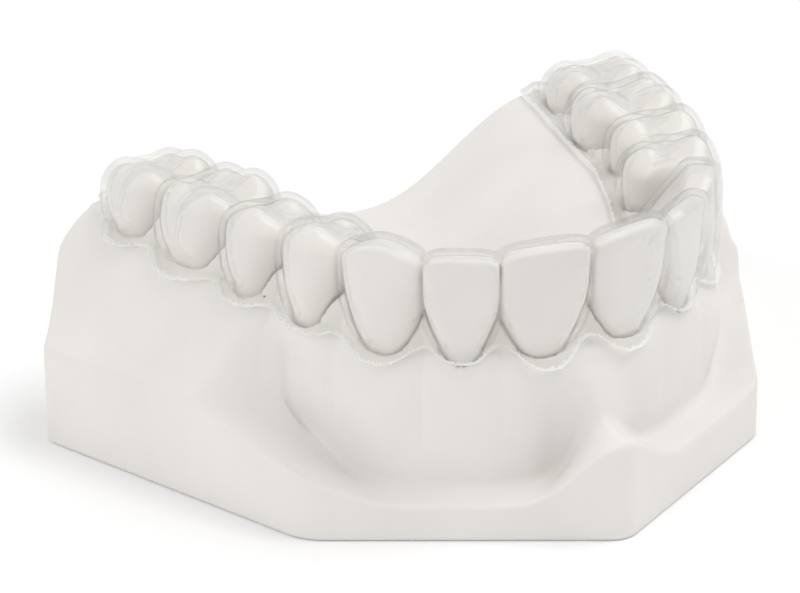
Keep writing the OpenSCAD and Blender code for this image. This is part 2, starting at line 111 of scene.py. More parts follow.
# The gum wall. How far it runs outwards over its first 10 mm below the gum edge, against the
# distance along the arch: upright in the front pockets, leaning out behind the cheek folds
WALL_RUN = [(0, 0.1), (26.6, 0.1), (29.2, 5.6), (31.5, 4.9), (35.5, 5.6), (43.9, 6.6), (53, 7.2)]
WALL_RUN_DEPTH = 10
CREST_LEAN = 0.6            # run of a cheek fold to the rear per millimetre outwards
CREST_REACH = 8
POCKET_END = 27             # distance along the arch to the end of a front pocket
FRONT_HOLLOW = 0.35         # the front gum wall is undercut by this much at its foot
FOLD_HOLLOW = 0.85          # and hollowed by this much in front of each cheek fold
FOLD_HOLLOW_AT = 26.0
FOLD_HOLLOW_WIDTH = 2.4
FRENUM_OUT = 2.5            # the midline fold stands out by this much
FRENUM_WIDTH = (1.2, 3.2)   # left and right
FRENUM_HOLLOW = 0.5         # and the wall on its left is hollowed by this much
FRENUM_HOLLOW_X = -4.0
FRENUM_HOLLOW_WIDTH = 1.5

# Rounding of edges
GUM_ROUND = 0.4
RIM_ROUND = 0.35
UNDERSIDE_ROUND = 0.3
SMALL_ROUND = 0.2

SHEET_THICKNESS = 0.66
SHEET_GAP = 0.13
SHEET_BRIDGE = 0.7          # hollows with a smaller radius are bridged by the sheet
TRIM_BELOW_GUM = [1.5, 0.85, 1.0, 1.1, 1.1, 1.15, 1.0]
TRIM_SCALLOP = [2.2, 1.5, 1.1, 0.8, 0.7, 0.8, 0.8]
TRIM_POWER = 1.5
PALATAL_TRIM = 1.5
SHEET_HEM = 4               # the sheet reaches at most this far below the gum
SHEET_END = 1.3             # the sheet ends this far behind the last tooth
END_RISE = 2.2              # its trim line rises by this much there
END_RISE_RUN = 3
EDGE_HIGHLIGHT_DEPTH = 0.05          # the cut edge's painted highlight shows on faces this far inside the uncut sheet's faces
SHEET_THIN = 0.80           # share of the light that passes the sheet without being bent
CLEAR_TINT = (0.985, 0.985, 0.98, 1)


# ---- Field helpers ----------------------------------------------------------------------

def smooth_max(a, b, k):
    h = np.clip(0.5 + 0.5 * (a - b) / k, 0, 1)
    return b + (a - b) * h + k * h * (1 - h)


def smooth_min(a, b, k):
    return -smooth_max(-a, -b, k)


def profile(points, soften=0.09):
    """A smooth curve through points (x, y), constant beyond its ends."""
    xs = [p[0] for p in points]
    ys = [p[1] for p in points]
    grid = np.linspace(xs[0] - 0.2 * (xs[-1] - xs[0]), xs[-1] + 0.2 * (xs[-1] - xs[0]), 281)
    values = np.interp(grid, xs, ys)
    half = int(len(grid) * soften)
    kernel = np.hanning(2 * half + 1)
    padded = np.pad(values, half, mode="edge")
    values = np.convolve(padded, kernel / kernel.sum(), mode="valid")
    return lambda x: np.interp(x, grid, values)


def blend(t):
    """Smooth step from 0 to 1 while t goes from 0 to 1."""
    c = np.clip(t, 0, 1)
    return c * c * (3 - 2 * c)


def fade_in(q, start, span):
    """0 up to start, then straight up to 1 over span."""
    return np.clip((q - start) / span, 0, 1)


def bell(x, middle, width):
    return np.exp(-((x - middle) / width) ** 2)


def grid_axes(low, high, voxel):
    return [np.arange(low[i], high[i] + voxel, voxel) for i in range(3)]


def mesh_field(name, field, low, voxel, level=0.0):
    """Mesh object of the surface where field equals level, on a grid that starts at low."""
    points, faces = surface_of(field, low, voxel, level)
    mesh = bpy.data.meshes.new(name)
    mesh.from_pydata((points * MM).tolist(), [], faces.tolist())
    mesh.validate()
    mesh.shade_smooth()
    obj = bpy.data.objects.new(name, mesh)
    bpy.context.scene.collection.objects.link(obj)
    return obj


def signed_volume(points, quads):
    a, b, c, d = (points[quads[:, i]] for i in range(4))
    return np.sum(a * np.cross(b, c) + a * np.cross(c, d)) / 6


def surface_of(field, low, voxel, level=0.0):
    """Points in millimetres and quads of a field's surface, with its normals outwards."""
    grid = openvdb.FloatGrid(background=float(field.max()))
    grid.copyFromArray(np.ascontiguousarray(field, dtype=np.float32))
    points, _, quads = grid.convertToPolygons(isovalue=level, adaptivity=0)
    points = points * voxel + np.array(low)
    if signed_volume(points, quads) < 0:
        quads = quads[:, ::-1]
    return points, quads


def distance_field(points, quads, low, shape, voxel, reach):
    """Signed distance in millimetres to a closed surface, exact up to reach."""
    transform = openvdb.createLinearTransform(voxelSize=voxel)
    grid = openvdb.FloatGrid.createLevelSetFromPolygons(
        (points - np.array(low)).astype(np.float32),
        quads=np.ascontiguousarray(quads, dtype=np.uint32),
        transform=transform, halfWidth=reach / voxel)
    out = np.empty(shape, dtype=np.float32)
    grid.copyToArray(out)
    return out


# ---- Tooth row, measured on the CAD -----------------------------------------------------

def node_points(node):
    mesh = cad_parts[node].data
    flat = np.empty(3 * len(mesh.vertices))
    mesh.vertices.foreach_get("co", flat)
    return flat.reshape(-1, 3) / MM


def peg_centre(points):
    lowest = points[points[:, 2] < points[:, 2].min() + 0.01]
    return (lowest[:, :2].min(axis=0) + lowest[:, :2].max(axis=0)) / 2


TEETH = [{"node": f"{side}_{kind}", "kind": i, "sign": sign}
         for side, sign in (("left", -1), ("right", 1)) for i, kind in enumerate(TOOTH_KINDS)]
for tooth in TEETH:
    tooth["cad"] = node_points(tooth["node"])
    tooth["centre"] = peg_centre(tooth["cad"])

CURVE_STEP = 0.25
CURVE_TAIL = 14
# Smooth even curve through all the necks, carried on straight behind the last ones
necks = np.array([t["centre"] for t in TEETH])
arch_fit = np.polynomial.Polynomial.fit(necks[:, 0] ** 2, necks[:, 1], 3)
last_x = np.abs(necks[:, 0]).max()
curve_x = np.linspace(0, last_x, 800)
half_curve = np.stack([curve_x, arch_fit(curve_x ** 2)], axis=1)
end_direction = half_curve[-1] - half_curve[-2]
end_direction /= np.linalg.norm(end_direction)
tail = half_curve[-1] + end_direction * np.arange(CURVE_STEP, CURVE_TAIL, CURVE_STEP)[:, None]
half_curve = np.concatenate([half_curve, tail])
lengths = np.concatenate([[0], np.cumsum(np.linalg.norm(np.diff(half_curve, axis=0), axis=1))])
half_s = np.arange(0, lengths[-1], CURVE_STEP)
half_curve = np.stack([np.interp(half_s, lengths, half_curve[:, k]) for k in range(2)], axis=1)
CURVE = np.concatenate([half_curve[:0:-1] * [-1, 1], half_curve])
CURVE_S = np.concatenate([-half_s[:0:-1], half_s])
CURVE_T = np.gradient(CURVE, axis=0)
CURVE_T /= np.linalg.norm(CURVE_T, axis=1)[:, None]
CURVE_N = np.stack([CURVE_T[:, 1], -CURVE_T[:, 0]], axis=1)


def arch_coordinates(x, y):
    """(s, v) of plan points; x and y are arrays of one shape."""
    best = np.full(x.shape, 1e9)
    index = np.zeros(x.shape, dtype=int)
    for k in range(len(CURVE)):
        d = (x - CURVE[k, 0]) ** 2 + (y - CURVE[k, 1]) ** 2
        closer = d < best
        best[closer] = d[closer]
        index[closer] = k
    dx, dy = x - CURVE[index, 0], y - CURVE[index, 1]
    s = CURVE_S[index] + dx * CURVE_T[index, 0] + dy * CURVE_T[index, 1]
    v = dx * CURVE_N[index, 0] + dy * CURVE_N[index, 1]
    return s, v


for tooth in TEETH:
    s, _ = arch_coordinates(tooth["centre"][:1], tooth["centre"][1:])
    k = int(np.argmin(np.abs(CURVE_S - s[0])))
    tooth["s"] = abs(s[0])
    tooth["distal"] = CURVE_T[k] * tooth["sign"]
    tooth["out"] = CURVE_N[k]
    crown = tooth["cad"][tooth["cad"][:, 2] > tooth["cad"][:, 2].min() + PEG_TO_GUM]
    local = crown[:, :2] - tooth["centre"]
    along, across = local @ tooth["distal"], local @ tooth["out"]
    tooth["width"] = np.ptp(along)
    tooth["depth"] = np.ptp(across)
    tooth["middle"] = (along.max() + along.min()) / 2
    tooth["top"] = tooth["cad"][:, 2].max()
    tooth["gum"] = tooth["cad"][:, 2].min() + PEG_TO_GUM

HALF = TEETH[len(TOOTH_KINDS):]
STATIONS = [t["s"] for t in HALF]
BORDERS = [0.0] + [(a["s"] * b["width"] + b["s"] * a["width"]) / (a["width"] + b["width"])
                   for a, b in zip(HALF, HALF[1:])]
ROW_END = STATIONS[-1] + HALF[-1]["width"] / 2
BORDERS.append(ROW_END)


def along_row(values, soften=0.05):
    """Function of |s| through one value per tooth."""
    return profile(list(zip(STATIONS, values)), soften)


gum_z = along_row([t["gum"] for t in HALF], 0.03)
half_depth = along_row([t["depth"] / 2 for t in HALF])
wall_run = profile(WALL_RUN, 0.008)
margin_rise = along_row(MARGIN_RISE)
root_bulge = along_row(ROOT_BULGE, 0.03)
papilla_height = along_row(PAPILLA_HEIGHT)
papilla_recess = along_row(PAPILLA_RECESS)
trim_below = along_row(TRIM_BELOW_GUM)
trim_scallop = along_row(TRIM_SCALLOP)


def off_middle(s):
    """0 on the middle of a tooth, 1 between two teeth, 0 again behind the row."""
    keys = [v for pair in zip(BORDERS, STATIONS) for v in pair] + [ROW_END, ROW_END + 3]
    values = [1.0, 0.0] * len(STATIONS) + [0.9, 0.0]
    return np.interp(np.abs(s), keys, values)


# ---- Teeth ------------------------------------------------------------------------------

# Profiles over the share of the crown height above the gum: half width as a share of half the
# tooth's width, outer and inner face as shares of half its depth, and roundness exponent
INCISOR = {
    "width": [(-0.4, 0.45), (0, 0.57), (0.2, 0.77), (0.4, 0.94), (0.55, 1.0), (0.8, 1.0),
              (1.1, 0.99)],
    "outer": [(-0.4, 0.68), (0, 0.84), (0.12, 1.04), (0.35, 1.08), (0.6, 1.04), (0.82, 1.02),
              (0.93, 1.12), (1.1, 1.12)],
    "inner": [(-0.4, -0.8), (0, -0.86), (0.15, -0.9), (0.35, -0.55), (0.6, -0.05), (0.85, 0.42),
              (1.1, 0.72)],
    "power": [(0, 2.7), (0.5, 3.8), (1, 4.4)],
    "taper": 0.14,
}
CANINE = {
    "width": [(-0.4, 0.50), (0, 0.61), (0.2, 0.80), (0.45, 0.97), (0.65, 1.0), (0.85, 0.96),
              (1.1, 0.86)],
    "outer": [(-0.4, 0.70), (0, 0.85), (0.12, 1.04), (0.4, 1.10), (0.7, 1.05), (0.9, 1.03),
              (1.1, 1.0)],
    "inner": [(-0.4, -0.8), (0, -0.88), (0.2, -0.93), (0.45, -0.62), (0.7, -0.1), (0.9, 0.3),
              (1.1, 0.55)],
    "power": [(0, 2.4), (0.5, 2.9), (1, 3.0)],
    "taper": 0.16,
}
PREMOLAR = {
    "width": [(-0.4, 0.50), (0, 0.60), (0.25, 0.80), (0.5, 0.97), (0.65, 1.0), (0.85, 0.96),
              (1.1, 0.86)],
    "outer": [(-0.4, 0.72), (0, 0.85), (0.2, 0.98), (0.4, 1.0), (0.7, 0.93), (0.95, 0.76),
              (1.2, 0.6)],
    "inner": [(-0.4, -0.7), (0, -0.82), (0.3, -0.98), (0.55, -1.0), (0.8, -0.9), (1.1, -0.68)],
    "power": [(0, 2.3), (1, 2.4)],
    "taper": 0.10,
}
MOLAR = {
    "width": [(-0.4, 0.66), (0, 0.75), (0.3, 0.91), (0.55, 1.0), (0.8, 0.97), (1.1, 0.88)],
    "outer": [(-0.4, 0.75), (0, 0.86), (0.25, 1.0), (0.5, 0.98), (0.8, 0.88), (1.1, 0.72)],
    "inner": [(-0.4, -0.75), (0, -0.86), (0.3, -0.99), (0.55, -1.0), (0.8, -0.92), (1.1, -0.74)],
    "power": [(0, 2.6), (1, 2.9)],
    "taper": 0.04,
}
SHAPES = [INCISOR, INCISOR, CANINE, PREMOLAR, PREMOLAR, MOLAR, MOLAR]
# Cusps as (distal, outer, drop) in shares of the half width and half depth, and millimetres
CUSPS = {
    3: [(0.0, 0.52, 0.0), (0.0, -0.50, 1.1)],
    4: [(0.0, 0.52, 0.0), (0.0, -0.50, 0.6)],
    5: [(-0.46, 0.56, 0.0), (0.42, 0.54, 0.15), (-0.36, -0.58, 0.0), (0.50, -0.54, 0.6)],
    6: [(-0.44, 0.56, 0.0), (0.40, 0.52, 0.4), (-0.34, -0.56, 0.1), (0.46, -0.50, 0.9)],
}
INCISOR_CORNER = 0.68       # the corners of the biting edge drop from this share of half its width
CORNER_DROP = (0.25, 0.6)   # by this much, on the side of the midline and on the far side
LATERAL_DROP = 0.4          # the lateral incisors' corners drop by this share more
CANINE_TIP = 1.3            # rounding radius of the canine's blunt tip
CANINE_SLOPE = (0.42, 0.50) # slope of its edge towards the midline and away from it
CUSP_SLOPE = 0.62
CUSP_ROUND = 0.45
RIDGE_AT = 0.76             # the ridges before and behind the cusps, as a share of half the width
RIDGE_DROP = 1.5            # and their depth below the highest cusp
OBLIQUE_DROP = 1.25
GROOVE_AT = 0.02            # the grooves between molar cusps, as a share of half the width
GROOVE_WIDTH = 0.13
GROOVE_DEPTH = (0.55, 0.45) # on the outer and the inner face
FRONT_EDGE_ROUND = 0.55
REAR_EDGE_ROUND = 0.9


def biting_surface(tooth, m, y):
    """Height of the crown's top over the point m distally and y outwards of its middle."""
    a, b = tooth["width"] / 2, tooth["depth"] / 2
    q = m / a
    kind = tooth["kind"]
    if kind < 2:
        corner = np.clip((np.abs(q) - INCISOR_CORNER) / (1 - INCISOR_CORNER), 0, 1.4) ** 2
        near, far = CORNER_DROP
        return -0.10 * q ** 2 - np.where(q > 0, far, near) * (1 + LATERAL_DROP * kind) * corner
    if kind == 2:
        near, far = CANINE_SLOPE
        slope = np.where(m > 0, far, near)
        return -slope * (np.sqrt(m ** 2 + CANINE_TIP ** 2) - CANINE_TIP)
    top = None
    for cusp_m, cusp_y, drop in CUSPS[kind]:
        away = np.sqrt((m - cusp_m * a) ** 2 + (y - cusp_y * b) ** 2 + CUSP_ROUND ** 2) - CUSP_ROUND
        cone = -drop - CUSP_SLOPE * away
        top = cone if top is None else smooth_max(top, cone, 0.35)
    ridge = -RIDGE_DROP - 0.9 * (np.abs(m) - RIDGE_AT * a) ** 2 - 0.12 * y ** 2
    top = smooth_max(top, ridge, 0.3)
    if kind > 4:
        # ridge that joins the front inner cusp to the rear outer one
        (m0, y0, _), (m1, y1, _) = CUSPS[kind][2], CUSPS[kind][1]
        line = np.array([(m1 - m0) * a, (y1 - y0) * b])
        line /= np.linalg.norm(line)
        side = (m - m0 * a) * line[1] - (y - y0 * b) * line[0]
        top = smooth_max(top, -OBLIQUE_DROP - 0.5 * np.abs(side), 0.3)
    return top


def crown_field(tooth, m, y, z):
    """Field of a crown and its neck; m distally, y outwards and z up, from the neck's centre."""
    shape = SHAPES[tooth["kind"]]
    a, b = tooth["width"] / 2, tooth["depth"] / 2
    height = tooth["top"] - tooth["gum"]
    t = (z - tooth["gum"]) / height
    outer = profile(shape["outer"])(t) * b
    inner = profile(shape["inner"])(t) * b
    width = profile(shape["width"])(t) * a
    power = profile(shape["power"])(t)
    m = m - tooth["middle"] * 0.5
    if tooth["kind"] > 4:
        groove = bell(m, GROOVE_AT * a, GROOVE_WIDTH * a) * fade_in(t, 0.35, 0.5)
        outer = outer - GROOVE_DEPTH[0] * groove
        inner = inner + GROOVE_DEPTH[1] * groove
    middle = (outer + inner) / 2
    thick = (outer - inner) / 2
    width = width * (1 - shape["taper"] * np.clip((middle - y) / (2 * b), -0.1, 1))
    around = (np.abs(m / width) ** power + np.abs((y - middle) / thick) ** power) ** (1 / power)
    side = (around - 1) * np.minimum(width, thick)
    top = z - tooth["top"] - biting_surface(tooth, m, y)
    return smooth_max(side, top, FRONT_EDGE_ROUND if tooth["kind"] < 3 else REAR_EDGE_ROUND)


def tooth_field(tooth, m, y, z):
    """Field of a whole tooth: crown, neck and the round peg below them."""
    neck_low = tooth["gum"] - SEAT_DEPTH
    crown = np.maximum(crown_field(tooth, m, y, z), neck_low - z)
    radius = PEG_RADIUS[tooth["kind"]]
    peg = np.maximum(np.sqrt(m ** 2 + y ** 2) - radius, z - neck_low - 0.5)
    peg = np.maximum(peg, tooth["gum"] - PEG_TO_GUM - z)
    return np.minimum(crown, peg)


def to_tooth(tooth, x, y):
    """Plan points in a tooth's own frame: distally and outwards of its peg."""
    dx, dy = x - tooth["centre"][0], y - tooth["centre"][1]
    return (dx * tooth["distal"][0] + dy * tooth["distal"][1],
            dx * tooth["out"][0] + dy * tooth["out"][1])


def around_tooth(tooth, x, y):
    """Slices of a plan grid near a tooth, and the grid's points there in the tooth's own frame."""
    m, out = to_tooth(tooth, x, y)
    near = np.abs(m[:, :, 0]) + np.abs(out[:, :, 0]) < TOOTH_REACH
    i0, i1 = np.flatnonzero(near.any(axis=1))[[0, -1]]
    j0, j1 = np.flatnonzero(near.any(axis=0))[[0, -1]]
    cut = (slice(i0, i1 + 1), slice(j0, j1 + 1))
    return cut, m[cut], out[cut]


def build_tooth(tooth):
    a, b = tooth["width"] / 2 + 1, tooth["depth"] / 2 + 1.4
    low = (-a, -b, tooth["gum"] - PEG_TO_GUM - 0.5)
    axes = grid_axes(low, (a, b, tooth["top"] + 0.8), TOOTH_VOXEL)
    m, y, z = np.meshgrid(*axes, indexing="ij", sparse=True)
    field = tooth_field(tooth, m, y, z)
    obj = mesh_field("crown_" + tooth["node"], field, low, TOOTH_VOXEL)
    place = Matrix.Identity(4)
    place[0][0], place[1][0] = tooth["distal"]
    place[0][1], place[1][1] = tooth["out"]
    place[0][3], place[1][3] = tooth["centre"] * MM
    obj.data.transform(place)
    if place.determinant() < 0:
        obj.data.flip_normals()
    return obj


# ---- Jaw --------------------------------------------------------------------------------

def base_outline():
    """Half planes (n, d) of the base's convex outline, from the CAD's underside."""
    points = node_points("jaw_base")
    points = points[points[:, 2] < 0.01][:, :2]
    order = np.lexsort((points[:, 1], points[:, 0]))
    points = points[order]

    def half_hull(sequence):
        hull = []
        for p in sequence:
            while len(hull) > 1 and np.cross(hull[-1] - hull[-2], p - hull[-2]) <= 1e-4:
                hull.pop()
            hull.append(p)
        return hull[:-1]

    hull = np.array(half_hull(points) + half_hull(points[::-1]))
    edges = np.roll(hull, -1, axis=0) - hull
    normals = np.stack([edges[:, 1], -edges[:, 0]], axis=1) / np.linalg.norm(edges, axis=1)[:, None]
    return normals, np.sum(normals * hull, axis=1)


OUTLINE_N, OUTLINE_D = base_outline()


def outline_distance(x, y):
    out = np.full(x.shape, -1e9)
    for n, d in zip(OUTLINE_N, OUTLINE_D):
        out = np.maximum(out, n[0] * x + n[1] * y - d)
    return out


def land_height(x, beyond, edge):
    """Height of the floor between the gum wall and the outer wall.

    Each front pocket is closed by the midline fold and a cheek fold, which widen with the
    distance beyond the gum edge; edge is the signed distance to the outline of the base.
    """
    b = np.clip(beyond, 0, LAND_WIDTH)
    (left, left_growth), (right, right_growth) = MIDLINE_FOLD
    half = np.where(x < 0, left + left_growth * b, right + right_growth * b)
    midline = np.exp(-(np.abs(x) / half) ** MIDLINE_POWER)
    crest = CHEEK_FOLD_X + CHEEK_FOLD_LEAN * b
    rise, growth = CHEEK_RISE
    approach = np.clip(1 - (crest - np.abs(x)) / (rise + growth * b), 0, 2) ** CHEEK_POWER
    cheek = smooth_min(approach, 1, 0.12)
    fold = smooth_max(midline, cheek, 0.15)
    low = np.where(x < 0, RIM_LOW, RIM_LOW + RIGHT_FILL)
    inwards = np.clip(-edge, 0, LAND_SLOPE_REACH)
    return low + (RIM_HIGH - low) * fold + LAND_SLOPE * inwards * (1 - cheek)


def soften_plan(height, reach):
    """Plan map of heights averaged over reach steps to each side."""
    kernel = np.hanning(2 * reach + 1)
    kernel /= kernel.sum()

    def averaged(row):
        return np.convolve(np.pad(row, reach, mode="edge"), kernel, mode="valid")

    for axis in (0, 1):
        height = np.apply_along_axis(averaged, axis, height)
    return height


def palate_height(s, v):
    """Height of the palate, evened out along the midline, where the arch coordinates meet."""
    inside = np.clip(-v - half_depth(np.abs(s)), 0, PALATE_REACH)
    edge = gum_z(np.abs(s)) + PALATAL_RISE
    height = PALATE_Z + (edge - PALATE_Z) * (1 + np.cos(math.pi * inside / PALATE_REACH)) / 2
    start, span = PALATE_BLEND
    return height + (soften_plan(height, PALATE_SOFTEN) - height) * blend((inside - start) / span)


def jaw_grid(low, high, voxel):
    """Grid arrays for jaw_field."""
    gx, gy, gz = grid_axes(low, high, voxel)
    x = gx[:, None, None] + 0 * gy[None, :, None]
    y = gy[None, :, None] + 0 * gx[:, None, None]
    return x, y, gz[None, None, :]


def jaw_field(x, y, z):
    """Field of the jaw; x and y are plan arrays of shape (n, m, 1), z has shape (1, 1, k)."""
    s, v = arch_coordinates(x, y)
    a = np.abs(s)
    off = off_middle(s)
    gum = gum_z(a)
    depth = half_depth(a)
    papilla = margin_rise(a) * (a < ROW_END) + papilla_height(a) * off ** PAPILLA_POWER
    across = np.clip((depth - v) / (2 * depth), 0, 1)
    top = gum + papilla * (1 - PAPILLA_FADE * across) + PALATAL_RISE * across
    top = np.where(v < -depth, palate_height(s, v), top)
    # outer face of the gum as a function of the depth q below the gum edge
    q = gum - z
    deep = np.clip(q, 0, None)
    a_fold = a - CREST_LEAN * np.clip(v - depth, 0, CREST_REACH)
    run = wall_run(a_fold) * deep / WALL_RUN_DEPTH
    roll = ROLL_OUT * (1 - np.exp(-deep / ROLL_DEPTH))
    recess = papilla_recess(a) * off ** 2 * np.clip(1 - q / RECESS_DEPTH, 0, 1.5)
    bulge = root_bulge(a) * (1 - off ** 2) * np.sin(math.pi * fade_in(q, 0, ROOT_LENGTH))
    frenum = FRENUM_OUT * bell(x, 0, np.where(x < 0, *FRENUM_WIDTH)) * fade_in(q, 2, 6)
    hollow = FRONT_HOLLOW * blend((POCKET_END - a) / 4) * (np.clip(q - 3, 0, 10) / 9) ** 1.5
    by_fold = bell(a_fold, FOLD_HOLLOW_AT, FOLD_HOLLOW_WIDTH)
    hollow = hollow + FOLD_HOLLOW * by_fold * fade_in(q, 1, 4)
    by_frenum = bell(x, FRENUM_HOLLOW_X, FRENUM_HOLLOW_WIDTH)
    hollow = hollow + FRENUM_HOLLOW * by_frenum * fade_in(q, 3, 5)
    face = NECK_SHARE * depth + run + roll - recess + bulge + frenum - hollow
    gum_body = smooth_max(z - top, v - face, GUM_ROUND)
    edge = outline_distance(x, y)
    land = z - land_height(x, v - depth, edge)
    fillet = LAND_FILLET + CHEEK_FILLET * blend((np.abs(x) - CHEEK_START) / CHEEK_SPAN)
    body = smooth_min(gum_body, land, fillet)
    body = smooth_max(body, edge, RIM_ROUND)
    body = smooth_max(body, -z, UNDERSIDE_ROUND)
    gum_only = body.copy()
    for tooth in TEETH:
        cut, m, out = around_tooth(tooth, x, y)
        crevice = CREVICE_WIDTH - crown_field(tooth, m, out, z)
        crevice = np.minimum(crevice, gum_only[cut] + CREVICE_DEPTH)
        crevice = np.minimum(crevice, z - tooth["gum"] + SEAT_DEPTH)
        body[cut] = smooth_max(body[cut], crevice, SMALL_ROUND)
        r = np.sqrt((x - tooth["centre"][0]) ** 2 + (y - tooth["centre"][1]) ** 2)
        bore = np.maximum(r - COUNTERBORE_RADIUS, z - COUNTERBORE_DEPTH)
        hole = np.maximum(r - SCREW_HOLE_RADIUS, z - tooth["gum"] + PEG_TO_GUM)
        body = smooth_max(body, -np.minimum(bore, hole), SMALL_ROUND)
    return body


def build_jaw():
    low_m, high_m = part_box("jaw_base")
    low = np.array(low_m) / MM - 1
    high = np.array(high_m) / MM + [1, 1, 4]
    field = jaw_field(*jaw_grid(low, high, JAW_VOXEL))
    return mesh_field("jaw_cast", field, low, JAW_VOXEL)


# ---- Retainer ---------------------------------------------------------------------------

def sample(field, points, low, voxel):
    """Values of a gridded field at points, interpolated between the eight nearest nodes."""
    place = (points - low) / voxel
    base = np.clip(np.floor(place).astype(int), 0, np.array(field.shape) - 2)
    share = place - base
    total = np.zeros(len(points))
    for corner in np.ndindex(2, 2, 2):
        weight = np.prod(np.where(corner, share, 1 - share), axis=1)
        total += weight * field[tuple((base + corner).T)]
    return total


def give_cut_faces_edge_highlight(mesh, uncut, low):
    """Gives the second material, the painted highlight of the cut edge, to the faces that the
    trimming left, inside the uncut shell.
    """
    centres = np.empty(3 * len(mesh.polygons))
    mesh.polygons.foreach_get("center", centres)
    trimmed = sample(uncut, centres.reshape(-1, 3) / MM, low, SHEET_VOXEL) < -EDGE_HIGHLIGHT_DEPTH
    mesh.polygons.foreach_set("material_index", trimmed.astype(np.int32))


def trim_cuts(x, y, z):
    """Fields that are positive where the sheet is cut away."""
    s, v = arch_coordinates(x, y)
    a = np.abs(s)
    wave = ((1 - np.cos(math.pi * off_middle(s))) / 2) ** TRIM_POWER
    trim = gum_z(a) - trim_below(a) + trim_scallop(a) * wave
    rise = fade_in(a, ROW_END - END_RISE_RUN, END_RISE_RUN + SHEET_END) * END_RISE
    return (np.where(v > 0, trim + rise - z, -5.0),     # scalloped line along the lips and cheeks
            -half_depth(a) - PALATAL_TRIM - v,          # line along the palate
            gum_z(a) - SHEET_HEM - z,
            a - ROW_END - SHEET_END,
            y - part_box("jaw_base")[1][1] / MM)


def build_retainer():
    low_m, high_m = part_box("retainer")
    low = np.array(low_m) / MM - [3, 3, 3]
    high = np.array(high_m) / MM + [3, 3, 3]
    x, y, z = jaw_grid(low, high, SHEET_VOXEL)
    field = jaw_field(x, y, z)
    for tooth in TEETH:
        cut, m, out = around_tooth(tooth, x, y)
        field[cut] = np.minimum(field[cut], tooth_field(tooth, m, out, z))
    # close the surface at the sides of the grid
    sides = np.ones(field.shape, dtype=bool)
    sides[1:-1, 1:-1, 1:-1] = False
    field[sides] = np.maximum(field[sides], SHEET_VOXEL)
    # grow by the bridged radius, then measure the sheet inwards from there
    points, quads = surface_of(field, low, SHEET_VOXEL)
    solid = distance_field(points, quads, low, field.shape, SHEET_VOXEL, SHEET_BRIDGE + 1)
    points, quads = surface_of(solid, low, SHEET_VOXEL, SHEET_BRIDGE)
    draped = distance_field(points, quads, low, field.shape, SHEET_VOXEL, SHEET_BRIDGE + 0.6)
    offset = SHEET_GAP + SHEET_THICKNESS / 2 - SHEET_BRIDGE
    uncut = np.abs(draped - offset) - SHEET_THICKNESS / 2
    shell = uncut
    for cut in trim_cuts(x, y, z):
        shell = smooth_max(shell, cut, SMALL_ROUND)
    obj = mesh_field("clear_retainer", shell, low, SHEET_VOXEL)
    # the faces left by the trimming get the painted highlight of the cut edge
    give_cut_faces_edge_highlight(obj.data, uncut, low)
    return obj


# ---- Materials --------------------------------------------------------------------------

def new_material(name):
    """Empty node material, with its nodes and links."""
    material = bpy.data.materials.new(name)
    material.use_nodes = True
    nodes = material.node_tree.nodes
    nodes.clear()
    return material, nodes, material.node_tree.links


def feed(links, socket, value):
    """Sets a socket to a number or links another node's output to it."""
    if isinstance(value, (int, float)):
        socket.default_value = value
    else:
        links.new(value, socket)


def add_noise(nodes, links, scale, detail=2):
    """Factor of a noise texture in object space."""
    place = nodes.new("ShaderNodeTexCoord")
    noise = nodes.new("ShaderNodeTexNoise")
    noise.inputs["Scale"].default_value = scale
    noise.inputs["Detail"].default_value = detail
    links.new(place.outputs["Object"], noise.inputs["Vector"])
    return noise.outputs["Fac"]


def add_range(nodes, links, value, low, high):
    """Spreads a value between 0 and 1 from low to high."""
    spread = nodes.new("ShaderNodeMapRange")
    spread.inputs["To Min"].default_value = low
    spread.inputs["To Max"].default_value = high
    links.new(value, spread.inputs["Value"])
    return spread.outputs["Result"]


def add_bump(nodes, links, height, strength, distance):
    bump = nodes.new("ShaderNodeBump")
    bump.inputs["Strength"].default_value = strength
    bump.inputs["Distance"].default_value = distance
    links.new(height, bump.inputs["Height"])
    return bump


def add_math(nodes, links, operation, first, second):
    node = nodes.new("ShaderNodeMath")
    node.operation = operation
    feed(links, node.inputs[0], first)
    feed(links, node.inputs[1], second)
    return node.outputs[0]


def add_mix(nodes, links, share, first, second):
    """Mix of two shaders, with this share of the second."""
    mix = nodes.new("ShaderNodeMixShader")
    feed(links, mix.inputs[0], share)
    links.new(first, mix.inputs[1])
    links.new(second, mix.inputs[2])
    return mix.outputs[0]


